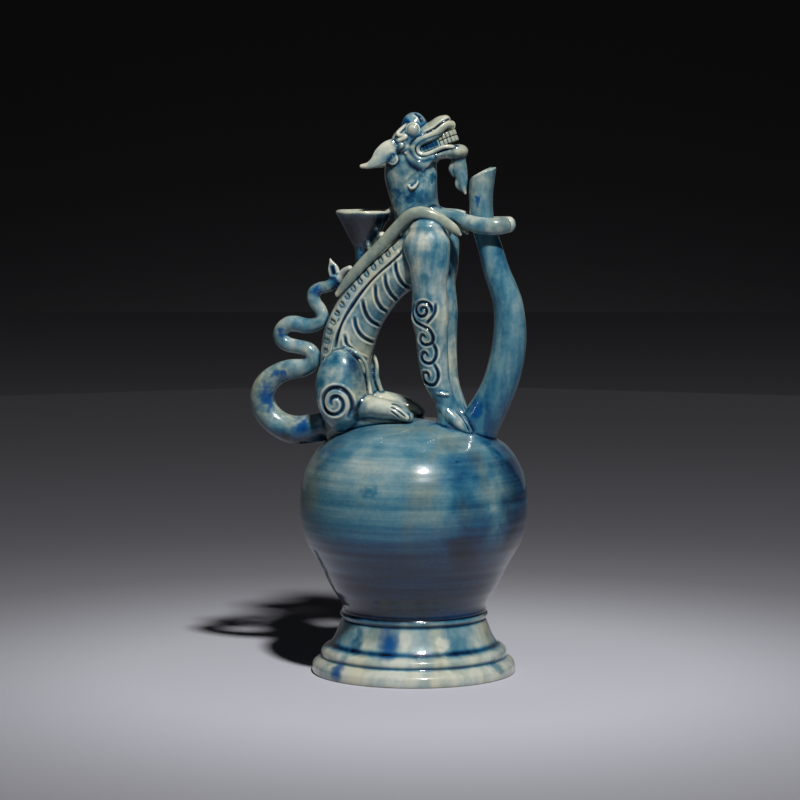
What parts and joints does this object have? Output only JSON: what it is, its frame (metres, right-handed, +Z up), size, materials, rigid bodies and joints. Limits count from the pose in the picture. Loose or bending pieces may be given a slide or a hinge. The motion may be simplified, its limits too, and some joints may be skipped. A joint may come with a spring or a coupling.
{
  "type": "qilin ewer",
  "caption": "Glazed ceramic ewer: a globe on a flared foot carries a seated qilin, filled by a cup on its back and poured by the curved spout it clasps.",
  "frame": {"origin": "on the surface the ewer stands on, under the middle of its length from the tail to the spout side", "axes": "+Z up, +X the way the animal and its spout face, +Y towards the animal's left side"},
  "size_m": [0.152, 0.1228, 0.2991],
  "materials": {
    "cobalt_glaze": "gloss",
    "teal_glaze": "gloss",
    "celadon_glaze": "gloss",
    "ivory_glaze": "gloss"
  },
  "bodies": {
    "root": {"beard": "teal_glaze", "brow_curl_left": "ivory_glaze", "brow_curl_right": "ivory_glaze", "cheek_frill_left": "celadon_glaze", "cheek_frill_right": "celadon_glaze", "clasp_arm_left": "teal_glaze", "clasp_arm_right": "teal_glaze", "crest": "cobalt_glaze", "ear_boss_left": "ivory_glaze", "ear_boss_right": "ivory_glaze", "ear_left": "celadon_glaze", "ear_right": "celadon_glaze", "eye_left": "ivory_glaze", "eye_right": "ivory_glaze", "filling_cup": "teal_glaze", "foot_ring": "teal_glaze", "foreleg_left": "celadon_glaze", "foreleg_right": "celadon_glaze", "globe": "teal_glaze", "haunch_left": "teal_glaze", "haunch_right": "teal_glaze", "head": "celadon_glaze", "hind_foot_left": "celadon_glaze", "hind_foot_right": "celadon_glaze", "lower_jaw": "celadon_glaze", "lower_teeth": "ivory_glaze", "neck": "cobalt_glaze", "spine_ridge_left": "ivory_glaze", "spine_ridge_right": "ivory_glaze", "spout": "cobalt_glaze", "strap_left": "celadon_glaze", "strap_right": "celadon_glaze", "tail": "celadon_glaze", "tail_flame": "ivory_glaze", "trunk": "celadon_glaze", "upper_teeth": "ivory_glaze"}
  },
  "joints": []
}
